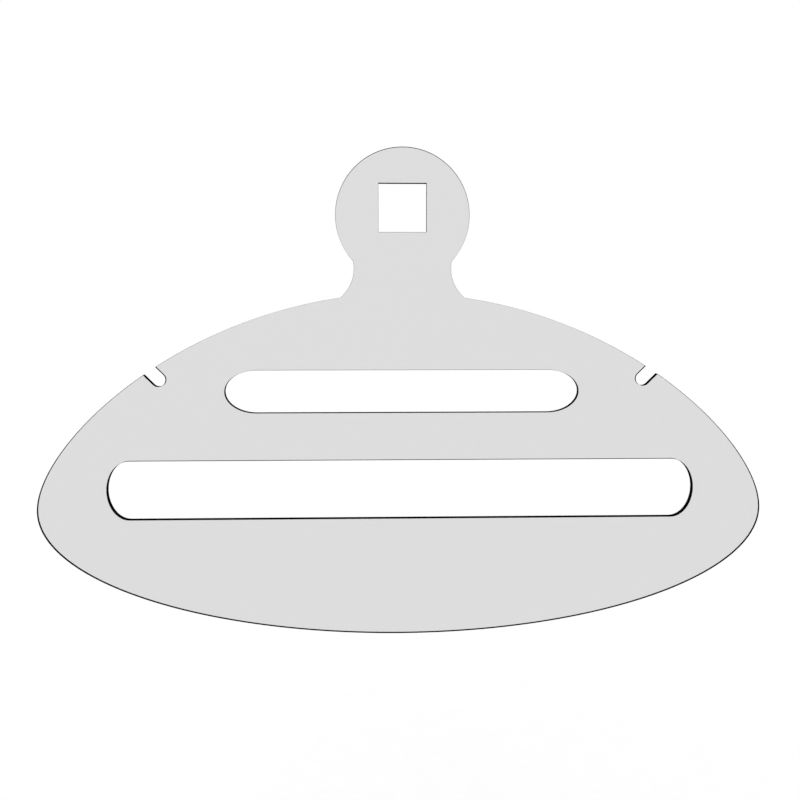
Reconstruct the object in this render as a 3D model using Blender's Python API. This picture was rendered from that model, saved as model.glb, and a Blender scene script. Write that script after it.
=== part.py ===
"""A flat clothes hanger, cut as one outline from a black-cored laminate sheet.

The sheet is three layers bonded together: a dark core board with a pale face sheet on each
side. All three have the same outline: a round head with a square hang hole, a waisted neck,
curved shoulders with a strap notch in each, and a half-elliptical lower edge. Two slots with
elliptical ends leave bars that trousers, scarves and ties hang over.

The rims of the two face sheets are eased at a shallow slope, which bares a dark line round
each pale face. The ease widens the further a rim faces away from the crown of the shoulders,
so the line is plain at the tips and along the lower edge, and all but gone at the neck. It
widens at a lower rate where a rim faces back towards the crown, as in the ends of the slots.

The hanger is upright: X runs across it, Y through it with the front face at -Y, and Z up.
The origin is the hang seat, the middle of the square hole's top wall. All sizes are metres.
"""

import math

import bmesh
import bpy
from mathutils import Vector

# Body
WIDTH = 0.4506  # tip to tip
SHOULDER_RISE = 0.1346  # from the widest line up to the crown of the shoulders
LOWER_DEPTH = 0.0788  # from the widest line down to the bottom
CROWN_DROP = 0.0658  # from the hang seat down to the crown of the shoulders
CROWN_HANDLE = 0.1266  # how far the shoulder curve is pulled out level at its crown

# Head and neck
HEAD_RADIUS = 0.0406
HEAD_TOP_WEB = 0.0216  # sheet left above the hang hole, which carries the load
HANG_HOLE_SIDE = 0.029
NECK_RADIUS = 0.0229
NECK_TOP_ANGLE = math.radians(47.5)  # from straight down, where the neck leaves the head
NECK_FOOT_HALF_WIDTH = 0.038  # where the neck meets the shoulder

# Strap notches
NOTCH_MOUTH_X = 0.1542  # middle of the notch's mouth, on the shoulder
NOTCH_WIDTH = 0.0084
NOTCH_DEPTH = 0.0119  # along the notch, from the shoulder to the round end
NOTCH_SLOPE = math.radians(45)

# Slots, from the top down
TOP_RAIL = 0.0468  # from the crown of the shoulders to the short slot
SHORT_SLOT_HEIGHT = 0.0262
SHORT_SLOT_WEB = 0.0635  # from the slot's end to the sheet's edge, level with its middle
SHORT_SLOT_END = 0.0192  # length of each elliptical end
MIDDLE_RAIL = 0.0297  # between the two slots
LONG_SLOT_HEIGHT = 0.0365
LONG_SLOT_WEB = 0.0408
LONG_SLOT_END = 0.0135

# Layers
SHEET_THICKNESS = 0.004
FACE_THICKNESS = 0.0008
GLUE_LINE = 0.0003  # room for the adhesive on each side of the core board
EASE_SIDEWAYS = 0.00012  # width of an ease whose rim faces neither away from the crown nor towards it
EASE_AWAY = 0.0051  # width of an ease, for each metre that its rim faces away from the crown
EASE_TOWARDS = 0.002  # added to the sideways width, for each metre that the rim faces the crown
EASE_SLOPE = 0.45  # depth of an ease, as a share of its width

# Facets
STEPS_PER_TURN = 96  # on the head and the neck
NOTCH_END_STEPS = 18
SLOT_END_STEPS = 24
SHOULDER_STEPS = 64  # on the whole shoulder curve, crown to tip
LOWER_EDGE_STEPS = 48  # tip to bottom

HALVINGS = 60  # enough to use up a number's digits
WELD_DISTANCE = 0.00001
SHARP_ANGLE = math.radians(15)

PALE_GREY = (0.723, 0.723, 0.723)
PALE_ROUGHNESS = 0.6
LAMINATE_BLACK = (0.002, 0.002, 0.002)
LAMINATE_ROUGHNESS = 0.45
CORE_BLACK = (0.003, 0.003, 0.003)
CORE_ROUGHNESS = 0.55

# A cubic's handle with this share of a radius makes a quarter circle or a quarter ellipse.
QUARTER_HANDLE = 4 / 3 * (math.sqrt(2) - 1)

HALF_WIDTH = WIDTH / 2
CROWN = Vector((0, -CROWN_DROP))
WIDEST_Z = CROWN.y - SHOULDER_RISE
HEAD_CENTRE = Vector((0, HEAD_TOP_WEB - HEAD_RADIUS))
SHORT_SLOT_Z = CROWN.y - TOP_RAIL - SHORT_SLOT_HEIGHT / 2
LONG_SLOT_Z = SHORT_SLOT_Z - SHORT_SLOT_HEIGHT / 2 - MIDDLE_RAIL - LONG_SLOT_HEIGHT / 2
CORE_THICKNESS = SHEET_THICKNESS - 2 * (FACE_THICKNESS + GLUE_LINE)

PALE_SLOT = 0
BACKING_SLOT = 1


def clear_scene():
    for scene_object in list(bpy.data.objects):
        bpy.data.objects.remove(scene_object, do_unlink=True)


def polar(centre, radius, angle):
    return centre + radius * Vector((math.cos(angle), math.sin(angle)))


def arc(centre, radius, start, end, steps):
    """Points from the start angle to the end angle, both included."""
    return [polar(centre, radius, start + (end - start) * i / steps) for i in range(steps + 1)]


def steps_for(angle):
    return max(2, round(abs(angle) / math.tau * STEPS_PER_TURN))


def solve(function, low, high):
    """Where a function that rises from below 0 to above 0 crosses 0, by halving the range."""
    for _ in range(HALVINGS):
        middle = (low + high) / 2
        if function(middle) < 0:
            low = middle
        else:
            high = middle
    return (low + high) / 2


def shoulder(t):
    """The right shoulder from the crown, t = 0, to the tip, t = 1, as one cubic.

    It leaves the crown level. It meets the tip upright, with the same handle as the ellipse
    below, so that the tip is as round above the widest line as below it.
    """
    crown_handle = Vector((CROWN_HANDLE, CROWN.y))
    tip_handle = Vector((HALF_WIDTH, WIDEST_Z + QUARTER_HANDLE * LOWER_DEPTH))
    tip = Vector((HALF_WIDTH, WIDEST_Z))
    s = 1 - t
    return s**3 * CROWN + 3 * s**2 * t * crown_handle + 3 * s * t**2 * tip_handle + t**3 * tip


def shoulder_at_x(x):
    return solve(lambda t: shoulder(t).x - x, 0, 1)


def shoulder_points(start, end):
    steps = max(2, round((end - start) * SHOULDER_STEPS))
    return [shoulder(start + (end - start) * i / steps) for i in range(steps + 1)]


def half_width_at(z):
    """Half the body's width at a height, on the shoulder or on the ellipse below it."""
    if z > WIDEST_Z:
        return shoulder(solve(lambda t: z - shoulder(t).y, 0, 1)).x
    return HALF_WIDTH * math.sqrt(1 - ((WIDEST_Z - z) / LOWER_DEPTH) ** 2)


def head_points():
    end = NECK_TOP_ANGLE - math.pi / 2
    sweep = end - math.pi / 2
    return arc(HEAD_CENTRE, HEAD_RADIUS, math.pi / 2, end, steps_for(sweep))


def neck_points(top, foot):
    """The hollow arc from the head to the shoulder, whose centre is outside the sheet."""
    chord = foot - top
    away = Vector((-chord.y, chord.x)).normalized()
    centre = (top + foot) / 2 + away * math.sqrt(NECK_RADIUS**2 - (chord.length / 2) ** 2)
    start = math.atan2(top.y - centre.y, top.x - centre.x)
    sweep = 2 * math.asin(chord.length / 2 / NECK_RADIUS)
    return arc(centre, NECK_RADIUS, start, start + sweep, steps_for(sweep))


def notch():
    """The notch's two corners, as places on the shoulder, and its round end between them."""
    out = Vector((math.cos(NOTCH_SLOPE), math.sin(NOTCH_SLOPE)))
    across = Vector((out.y, -out.x))
    radius = NOTCH_WIDTH / 2
    mouth = shoulder(shoulder_at_x(NOTCH_MOUTH_X))
    centre = mouth - out * (NOTCH_DEPTH - radius)
    inner = solve(lambda t: (shoulder(t) - centre).dot(across) + radius, 0, 1)
    outer = solve(lambda t: (shoulder(t) - centre).dot(across) - radius, 0, 1)
    start = NOTCH_SLOPE + math.pi / 2
    end = arc(centre, radius, start, start + math.pi, NOTCH_END_STEPS)
    return inner, outer, end


def lower_edge_points():
    angles = [math.pi / 2 * i / LOWER_EDGE_STEPS for i in range(1, LOWER_EDGE_STEPS + 1)]
    return [Vector((HALF_WIDTH * math.cos(a), WIDEST_Z - LOWER_DEPTH * math.sin(a))) for a in angles]


def body_outline():
    """The outer outline, clockwise from the top of the head, its left half mirrored."""
    head = head_points()
    foot = shoulder_at_x(NECK_FOOT_HALF_WIDTH)
    neck = neck_points(head[-1], shoulder(foot))
    inner, outer, notch_end = notch()
    right = head + neck[1:] + shoulder_points(foot, inner)[1:]
    right += notch_end + shoulder_points(outer, 1) + lower_edge_points()
    left = [Vector((-point.x, point.y)) for point in reversed(right[1:-1])]
    return right + left


def slot_outline(z, height, web, end_length):
    """A slot across the centre line, with half an ellipse at each end."""
    end_x = half_width_at(z) - web - end_length
    angles = [math.pi * (i / SLOT_END_STEPS - 0.5) for i in range(SLOT_END_STEPS + 1)]
    right = [Vector((end_x + end_length * math.cos(a), z + height / 2 * math.sin(a))) for a in angles]
    left = [Vector((-point.x, point.y)) for point in reversed(right)]
    return right + left


def hang_hole_outline():
    half = HANG_HOLE_SIDE / 2
    return [Vector(corner) for corner in ((-half, 0), (half, 0), (half, -2 * half), (-half, -2 * half))]


def openings():
    short_slot = slot_outline(SHORT_SLOT_Z, SHORT_SLOT_HEIGHT, SHORT_SLOT_WEB, SHORT_SLOT_END)
    long_slot = slot_outline(LONG_SLOT_Z, LONG_SLOT_HEIGHT, LONG_SLOT_WEB, LONG_SLOT_END)
    return [hang_hole_outline(), short_slot, long_slot]


def sheet_curve(name, thickness):
    """The outline with its openings, as a filled flat curve in its own XY plane."""
    curve = bpy.data.curves.new(name, "CURVE")
    curve.dimensions = "2D"
    curve.fill_mode = "BOTH"
    curve.extrude = thickness / 2
    for outline in [body_outline(), *openings()]:
        spline = curve.splines.new("POLY")
        spline.points.add(len(outline) - 1)
        for point, place in zip(spline.points, outline):
            point.co = (place.x, place.y, 0, 1)
        spline.use_cyclic_u = True
    return curve


def sheet_mesh(name, thickness):
    """The curve's solid as a mesh, with its loose faces welded to its walls."""
    curve = sheet_curve(name + "_outline", thickness)
    guide = bpy.data.objects.new(curve.name, curve)
    bpy.context.scene.collection.objects.link(guide)
    graph = bpy.context.evaluated_depsgraph_get()
    mesh = bpy.data.meshes.new_from_object(guide.evaluated_get(graph))
    mesh.name = name
    bpy.data.objects.remove(guide, do_unlink=True)
    bpy.data.curves.remove(curve)
    bm = bmesh.new()
    bm.from_mesh(mesh)
    bmesh.ops.remove_doubles(bm, verts=bm.verts, dist=WELD_DISTANCE)
    bmesh.ops.recalc_face_normals(bm, faces=bm.faces)
    bm.to_mesh(mesh)
    bm.free()
    return mesh


def bevel_rims(bm):
    """Gives every rim of the face at +Z a narrow ease, all round alike."""
    rims = [edge for edge in bm.edges if edge.calc_face_angle() > SHARP_ANGLE]
    rims = [edge for edge in rims if all(vert.co.z > 0 for vert in edge.verts)]
    bmesh.ops.bevel(
        bm,
        geom=rims,
        offset=EASE_SIDEWAYS,
        offset_type="OFFSET",
        segments=1,
        affect="EDGES",
        clamp_overlap=False,
    )


def ease_width(place, outward):
    """The width of the ease at a place, from how far its rim faces away from the crown."""
    away = (place - CROWN).dot(outward)
    return max(EASE_AWAY * away, EASE_SIDEWAYS - EASE_TOWARDS * away)


def ease_at(vert):
    """The way in from a rim to its pale face, and the ease's depth, at a vertex of the walls.

    Two walls that meet at a corner each keep the width of their own ease.
    """
    place = vert.co.xy
    walls = [face.normal.xy.normalized() for face in vert.link_faces if min(v.co.z for v in face.verts) < 0]
    first, last = walls[0], walls[-1]
    outward = (first + last).normalized()
    if outward.angle(first) < SHARP_ANGLE:
        width = ease_width(place, outward)
        return -width * outward, EASE_SLOPE * width
    one = ease_width(place, first)
    other = ease_width(place, last)
    meeting = Vector((one * last.y - other * first.y, other * first.x - one * last.x))
    return -meeting / first.cross(last), EASE_SLOPE * min(one, other)


def widen_eases(bm):
    """Moves both edges of each ease, so that it has its own width there and the same slope."""
    bm.normal_update()
    level = FACE_THICKNESS / 2
    pairs = [(upper, edge.other_vert(upper)) for upper in bm.verts for edge in upper.link_edges]
    pairs = [(upper, lower) for upper, lower in pairs if upper.co.z > level - WELD_DISTANCE > lower.co.z]
    eases = [ease_at(lower) for upper, lower in pairs]
    for (upper, lower), (inset, depth) in zip(pairs, eases):
        upper.co.xy = lower.co.xy + inset
        lower.co.z = level - depth


def fill_outer_face(bm):
    """Fills the face at +Z afresh inside its eased rims, as the only pale face."""
    for face in bm.faces:
        face.material_index = BACKING_SLOT
    level = FACE_THICKNESS / 2 - WELD_DISTANCE
    outer = [face for face in bm.faces if all(vert.co.z > level for vert in face.verts)]
    bmesh.ops.delete(bm, geom=outer, context="FACES")
    edges = [edge for edge in bm.edges if edge.is_boundary]
    filled = bmesh.ops.triangle_fill(bm, use_beauty=True, edges=edges, normal=(0, 0, 1))
    for face in filled["geom"]:
        if isinstance(face, bmesh.types.BMFace):
            face.material_index = PALE_SLOT


def ease_rims(mesh):
    bm = bmesh.new()
    bm.from_mesh(mesh)
    bevel_rims(bm)
    widen_eases(bm)
    fill_outer_face(bm)
    bm.to_mesh(mesh)
    bm.free()


def principled(name, colour, roughness):
    material = bpy.data.materials.new(name)
    material.use_nodes = True
    material.diffuse_color = (*colour, 1)
    shader = material.node_tree.nodes["Principled BSDF"]
    shader.inputs["Base Color"].default_value = (*colour, 1)
    shader.inputs["Roughness"].default_value = roughness
    shader.inputs["Metallic"].default_value = 0
    return material


def pale_surface(name):
    return principled(name, PALE_GREY, PALE_ROUGHNESS)


def black_backing(name):
    return principled(name, LAMINATE_BLACK, LAMINATE_ROUGHNESS)


def core_material():
    return principled("core_board_black", CORE_BLACK, CORE_ROUGHNESS)


def add_layer(name, mesh, y, turn, materials, collection, parent):
    """Stands a flat layer upright. Its +Z side faces -Y, or +Y if it is turned half round."""
    for material in materials:
        mesh.materials.append(material)
    mesh.shade_smooth()
    mesh.set_sharp_from_angle(angle=SHARP_ANGLE)
    layer = bpy.data.objects.new(name, mesh)
    layer.rotation_euler = (math.pi / 2, 0, turn)
    layer.location = (0, y, 0)
    layer.parent = parent
    collection.objects.link(layer)
    return layer


def add_face_sheet(name, side, collection, parent):
    """A pale face sheet, at the front for side -1 and at the back for side 1."""
    mesh = sheet_mesh(name, FACE_THICKNESS)
    ease_rims(mesh)
    y = side * (SHEET_THICKNESS - FACE_THICKNESS) / 2
    turn = 0 if side < 0 else math.pi
    materials = [pale_surface(name + "_pale"), black_backing(name + "_backing")]
    return add_layer(name, mesh, y, turn, materials, collection, parent)


def add_core_board(collection, parent):
    mesh = sheet_mesh("core_board", CORE_THICKNESS)
    return add_layer("core_board", mesh, 0, 0, [core_material()], collection, parent)


def build_hanger():
    collection = bpy.data.collections.new("clothes_hanger")
    bpy.context.scene.collection.children.link(collection)
    hang_seat = bpy.data.objects.new("hang_seat", None)
    hang_seat.empty_display_size = HANG_HOLE_SIDE / 2
    collection.objects.link(hang_seat)
    add_face_sheet("front_face_sheet", -1, collection, hang_seat)
    add_core_board(collection, hang_seat)
    add_face_sheet("back_face_sheet", 1, collection, hang_seat)


clear_scene()
build_hanger()
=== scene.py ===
"""The looks of a flat clothes hanger that is cut from a black-cored laminate sheet.

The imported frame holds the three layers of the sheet. This script finishes and maps their
surfaces, fills the two glue lines between them, and shows the hanger in a pale studio, upright
over a floor. Sizes are in metres, in the frame's axes: X across the hanger, Y from front to
back, Z up.
"""

import math

import bmesh
import bpy
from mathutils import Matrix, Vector


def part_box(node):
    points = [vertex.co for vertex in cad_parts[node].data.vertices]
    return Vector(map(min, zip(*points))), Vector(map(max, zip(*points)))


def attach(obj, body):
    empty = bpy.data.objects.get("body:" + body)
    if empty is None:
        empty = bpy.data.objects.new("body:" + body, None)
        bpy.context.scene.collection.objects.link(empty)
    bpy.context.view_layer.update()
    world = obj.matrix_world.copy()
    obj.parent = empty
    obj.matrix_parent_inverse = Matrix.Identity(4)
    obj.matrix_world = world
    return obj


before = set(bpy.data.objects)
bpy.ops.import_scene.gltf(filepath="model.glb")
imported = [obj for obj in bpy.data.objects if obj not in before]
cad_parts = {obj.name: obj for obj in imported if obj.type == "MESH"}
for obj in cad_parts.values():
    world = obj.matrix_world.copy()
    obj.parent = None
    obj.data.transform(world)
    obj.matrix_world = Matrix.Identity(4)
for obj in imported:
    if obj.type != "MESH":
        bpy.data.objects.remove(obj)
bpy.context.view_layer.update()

# Camera
CAMERA_PLACE = (-0.0206, -0.5926, -0.0689)
CAMERA_TURN = math.radians(-1.852)  # to the right of straight ahead
CAMERA_PITCH = math.radians(-6.003)  # below level
LEVEL_VIEW = math.pi / 2  # a camera's turn about X when it looks level along Y
FIELD_OF_VIEW = math.radians(45)

# Studio
WHITE = (1, 1, 1, 1)
BACKGROUND_STRENGTH = 1.0  # white, wherever the world itself is seen
AMBIENT = 0.642  # the world's light on the object
SUN_ANGLE = math.radians(70)  # as wide as a large softbox seen from close by
SUN_STRENGTH = 1.46
SUN_TURNS = (math.radians(-28), math.radians(152))  # round Z: one sun in front and one behind
SUN_TILT = math.radians(42)  # from straight down

# Floor
FLOOR_Z = -0.62
FLOOR_SIZE = 30
FLOOR_GREYS = (0.61, 0.63)
FLOOR_CLOUD = 0.03  # size of the faint patches in its grey
FLOOR_LIFT = 0.18  # glow on top of the light it gets, for the rays that see the world white
FLOOR_ROUGHNESS = 1.0
FLOOR_SPECULAR = 0.0

# Glue
GLUE_RECESS = 0.00015  # from the cut edge
GLUE_CLEARANCE = 0.00002  # to the layer on each side
WELD_DISTANCE = 0.000001
WALL_LEAN = 0.5  # a wall's normal has less than this along Y

# Pale laminate: a smooth matt face with a fine pearl grain pressed into it
PEARL_SIZE = 0.00025
PEARL_DEPTH = 0.000016
GRAIN_SIZE = 0.0001
GRAIN_DEPTH = 0.000003
PALE_GREYS = (0.684, 0.738)
PALE_ROUGHNESSES = (0.56, 0.66)
PALE_SPECULAR = 0.4

# Black laminate: pressed papers, cut across
PAPER_LAYER = 0.00016
FIBRE_SIZE = 0.0011  # how far a paper's shade reaches along it
PAPER_DEPTH = 0.000006
MARK_SIZE = 0.0004
MARK_LENGTH = 1.0  # far more than the sheet's thickness, so a mark crosses the whole edge
MARK_DEPTH = 0.00001
BACKING_GREYS = (0.0005, 0.007)
CORE_GREYS = (0.0005, 0.010)
GLUE_GREYS = (0.0004, 0.002)
DARK_SHARE = 3.0  # above 1, more of the papers are near the darkest grey
BLACK_ROUGHNESSES = (0.75, 0.95)
BLACK_SPECULAR = 0.0

# Noise
PLAIN_DETAIL = 2.0
FINE_DETAIL = 3.0
USUAL_NOISE = (0.3, 0.7)  # nearly all of a noise lies between these

# Material slots of a face sheet
PALE_SLOT = 0
BLACK_SLOT = 1

# Map of a face sheet, unfolded flat in a square of size 1
MAP_NAME = "OFBake"  # the name of the map that the face sheets are drawn in; the export bakes through a map of this name
MAP_MARGIN = 0.01
PALE_MIDDLE = 0.5  # of the pale face across the map, along its lower part
BLACK_MIDDLE = 0.25  # of the black sides across the map, above the pale face
WALL_SPREAD = 8.0  # how much wider than they are the walls are drawn


def add_node(tree, kind, inputs=None, **settings):
    """A shader node. An input's value is a number, a colour or another node's output."""
    node = tree.nodes.new(kind)
    for name, value in settings.items():
        setattr(node, name, value)
    for name, value in (inputs or {}).items():
        if isinstance(value, bpy.types.NodeSocket):
            tree.links.new(value, node.inputs[name])
        else:
            node.inputs[name].default_value = value
    return node


def grey(value):
    return (value, value, value, 1)


def new_material(name):
    material = bpy.data.materials.new(name)
    material.use_nodes = True
    return material, material.node_tree, material.node_tree.nodes["Principled BSDF"]


def place_in_frame(tree, sizes):
    """Places on the object, measured in the given sizes along X, Y and Z."""
    place = add_node(tree, "ShaderNodeTexCoord").outputs["Object"]
    scale = tuple(1 / size for size in sizes)
    scaled = add_node(tree, "ShaderNodeVectorMath", {0: place, 1: scale}, operation="MULTIPLY")
    return scaled.outputs[0]


def noise(tree, sizes, detail=PLAIN_DETAIL):
    inputs = {"Vector": place_in_frame(tree, sizes), "Scale": 1.0, "Detail": detail}
    return add_node(tree, "ShaderNodeTexNoise", inputs).outputs["Fac"]


def spread(tree, value, low, high):
    """Turns a noise into a value that goes all the way from low to high."""
    noise_low, noise_high = USUAL_NOISE
    inputs = {
        "Value": value,
        "From Min": noise_low,
        "From Max": noise_high,
        "To Min": low,
        "To Max": high,
    }
    return add_node(tree, "ShaderNodeMapRange", inputs).outputs["Result"]


def blend_grey(tree, factor, low, high):
    """A grey from low, where the factor is 0, to high, where it is 1."""
    stops = add_node(tree, "ShaderNodeValToRGB", {"Fac": factor})
    stops.color_ramp.elements[0].color = grey(low)
    stops.color_ramp.elements[1].color = grey(high)
    return stops.outputs["Color"]


def bump(tree, height, depth, normal=None):
    inputs = {"Height": height, "Distance": depth, "Strength": 1.0}
    if normal is not None:
        inputs["Normal"] = normal
    return add_node(tree, "ShaderNodeBump", inputs).outputs["Normal"]


def pale_laminate():
    """The outer faces: a little lighter and smoother on the pearl's crests than between them."""
    material, tree, shader = new_material("pale_laminate")
    pearl = noise(tree, (PEARL_SIZE,) * 3, FINE_DETAIL)
    grain = noise(tree, (GRAIN_SIZE,) * 3)
    colour = blend_grey(tree, spread(tree, pearl, 0, 1), *PALE_GREYS)
    tree.links.new(colour, shader.inputs["Base Color"])
    roughness = spread(tree, pearl, *reversed(PALE_ROUGHNESSES))
    tree.links.new(roughness, shader.inputs["Roughness"])
    normal = bump(tree, grain, GRAIN_DEPTH, bump(tree, pearl, PEARL_DEPTH))
    tree.links.new(normal, shader.inputs["Normal"])
    shader.inputs["Specular IOR Level"].default_value = PALE_SPECULAR
    return material


def black_laminate(name, greys):
    """A cut black edge: pressed papers in thin layers, crossed by the marks of the cutter."""
    material, tree, shader = new_material(name)
    papers = noise(tree, (FIBRE_SIZE, PAPER_LAYER, FIBRE_SIZE), FINE_DETAIL)
    marks = noise(tree, (MARK_SIZE, MARK_LENGTH, MARK_SIZE))
    base_and_power = {0: spread(tree, papers, 0, 1), 1: DARK_SHARE}
    shade = add_node(tree, "ShaderNodeMath", base_and_power, operation="POWER").outputs[0]
    tree.links.new(blend_grey(tree, shade, *greys), shader.inputs["Base Color"])
    tree.links.new(spread(tree, marks, *BLACK_ROUGHNESSES), shader.inputs["Roughness"])
    normal = bump(tree, marks, MARK_DEPTH, bump(tree, papers, PAPER_DEPTH))
    tree.links.new(normal, shader.inputs["Normal"])
    shader.inputs["Specular IOR Level"].default_value = BLACK_SPECULAR
    return material


def finish_face_sheet(node, pale, black):
    """Pale on the outer face alone. The eased rims, the walls and the inner side are black."""
    mesh = node.data
    low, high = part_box(node.name)
    outer = max(abs(low.y), abs(high.y))
    mesh.materials.clear()
    mesh.materials.append(pale)
    mesh.materials.append(black)
    for face in mesh.polygons:
        depths = [abs(mesh.vertices[i].co.y) for i in face.vertices]
        on_outer_face = min(depths) > outer - WELD_DISTANCE
        face.material_index = PALE_SLOT if on_outer_face else BLACK_SLOT


def map_face_sheet(node):
    """Gives a finished face sheet a map that draws its pale face and its black sides apart.

    Neither colour then runs into the other in a bake. Each drawing shows its side from outside.
    In the black one, the eases and the walls fold outward round the inner side.
    """
    mesh = node.data
    low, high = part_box(node.name)
    inner = min(abs(low.y), abs(high.y))
    size = high - low
    fold = WALL_SPREAD * size.y
    pale_scale = (1 - 2 * MAP_MARGIN) / size.x
    pale_origin = Vector((PALE_MIDDLE, MAP_MARGIN - low.z * pale_scale))
    black_low = 2 * MAP_MARGIN + size.z * pale_scale
    black_scale = (1 - MAP_MARGIN - black_low) / (size.z + 2 * fold)
    black_origin = Vector((BLACK_MIDDLE, black_low + (fold - low.z) * black_scale))
    to_the_right = 1 if low.y < 0 else -1  # which way X runs in a drawing of the outer face
    layout = mesh.uv_layers.new(name=MAP_NAME)
    for face in mesh.polygons:
        outward = Vector((face.normal.x, face.normal.z)).normalized()
        for corner in face.loop_indices:
            place = mesh.vertices[mesh.loops[corner].vertex_index].co
            spot = Vector((place.x, place.z))
            if face.material_index == PALE_SLOT:
                spot.x *= to_the_right
                layout.data[corner].uv = pale_origin + spot * pale_scale
            else:
                spot += outward * WALL_SPREAD * (abs(place.y) - inner)
                spot.x *= -to_the_right
                layout.data[corner].uv = black_origin + spot * black_scale


def finish_core(node, black):
    node.data.materials.clear()
    node.data.materials.append(black)


def draw_in(vert, distance):
    """Moves a vertex of an outline into the sheet, square to the walls that meet there."""
    walls = [face.normal for face in vert.link_faces if abs(face.normal.y) < WALL_LEAN]
    outward = sum(walls, Vector()).normalized()
    vert.co -= outward * distance / outward.dot(walls[0])


def add_glue_film(name, core, y_low, y_high, material):
    """The adhesive in one glue line: the core board's outline, a little in from the cut edge."""
    source = core.data
    mesh = bpy.data.meshes.new(name)
    mesh.from_pydata([v.co for v in source.vertices], [], [list(p.vertices) for p in source.polygons])
    bm = bmesh.new()
    bm.from_mesh(mesh)
    bmesh.ops.remove_doubles(bm, verts=bm.verts, dist=WELD_DISTANCE)
    bmesh.ops.recalc_face_normals(bm, faces=bm.faces)
    for vert in bm.verts:
        draw_in(vert, GLUE_RECESS)
    for vert in bm.verts:
        vert.co.y = y_low if vert.co.y < 0 else y_high
    bm.to_mesh(mesh)
    bm.free()
    mesh.materials.append(material)
    film = bpy.data.objects.new(name, mesh)
    bpy.context.scene.collection.objects.link(film)
    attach(film, "root")


def dress_hanger():
    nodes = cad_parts
    pale = pale_laminate()
    backing = black_laminate("black_backing", BACKING_GREYS)
    for name in ("front_face_sheet", "back_face_sheet"):
        finish_face_sheet(nodes[name], pale, backing)
        map_face_sheet(nodes[name])
    core = nodes["core_board"]
    finish_core(core, black_laminate("black_core", CORE_GREYS))
    glue = black_laminate("glue", GLUE_GREYS)
    front_gap = (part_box("front_face_sheet")[1].y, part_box("core_board")[0].y)
    back_gap = (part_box("core_board")[1].y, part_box("back_face_sheet")[0].y)
    for name, gap in (("front_glue_film", front_gap), ("back_glue_film", back_gap)):
        add_glue_film(name, core, gap[0] + GLUE_CLEARANCE, gap[1] - GLUE_CLEARANCE, glue)


def seen_directly(tree):
    """1 for the rays that show a background: from the camera, in gloss and through glass."""
    rays = add_node(tree, "ShaderNodeLightPath").outputs
    direct_or_gloss = {0: rays["Is Camera Ray"], 1: rays["Is Glossy Ray"]}
    some = add_node(tree, "ShaderNodeMath", direct_or_gloss, operation="MAXIMUM")
    with_glass = {0: some.outputs[0], 1: rays["Is Transmission Ray"]}
    return add_node(tree, "ShaderNodeMath", with_glass, operation="MAXIMUM").outputs[0]


def add_world():
    """A white background that lights the object at a plain level."""
    world = bpy.data.worlds.new("studio")
    world.use_nodes = True
    bpy.context.scene.world = world
    tree = world.node_tree
    background = tree.nodes["Background"]
    inputs = {"Value": seen_directly(tree), "To Min": AMBIENT, "To Max": BACKGROUND_STRENGTH}
    strength = add_node(tree, "ShaderNodeMapRange", inputs)
    tree.links.new(strength.outputs["Result"], background.inputs["Strength"])
    background.inputs["Color"].default_value = WHITE


def floor_material():
    """A plain pale floor, with a faint unevenness. It reads white where no shadow falls."""
    material, tree, shader = new_material("studio_floor")
    cloud = noise(tree, (FLOOR_CLOUD,) * 3)
    tree.links.new(blend_grey(tree, cloud, *FLOOR_GREYS), shader.inputs["Base Color"])
    shader.inputs["Roughness"].default_value = FLOOR_ROUGHNESS
    shader.inputs["Specular IOR Level"].default_value = FLOOR_SPECULAR
    lift = add_node(tree, "ShaderNodeMapRange", {"Value": seen_directly(tree), "To Max": FLOOR_LIFT})
    shader.inputs["Emission Color"].default_value = WHITE
    tree.links.new(lift.outputs["Result"], shader.inputs["Emission Strength"])
    return material


def add_floor():
    bpy.ops.mesh.primitive_plane_add(size=FLOOR_SIZE, location=(0, 0, FLOOR_Z))
    floor = bpy.context.object
    floor.name = "studio_floor"
    floor.data.materials.append(floor_material())


def add_sun(name, turn):
    light = bpy.data.lights.new(name, "SUN")
    light.energy = SUN_STRENGTH
    light.angle = SUN_ANGLE
    sun = bpy.data.objects.new(name, light)
    sun.rotation_euler = (SUN_TILT, 0, turn)
    bpy.context.scene.collection.objects.link(sun)


def add_camera():
    data = bpy.data.cameras.new("camera")
    data.angle = FIELD_OF_VIEW
    camera = bpy.data.objects.new("camera", data)
    camera.location = CAMERA_PLACE
    camera.rotation_euler = (LEVEL_VIEW + CAMERA_PITCH, 0, CAMERA_TURN)
    bpy.context.scene.collection.objects.link(camera)
    bpy.context.scene.camera = camera


add_camera()
dress_hanger()
add_world()
add_floor()
for number, turn in enumerate(SUN_TURNS, start=1):
    add_sun(f"softbox_{number}", turn)
bpy.context.scene.view_settings.view_transform = "Standard"
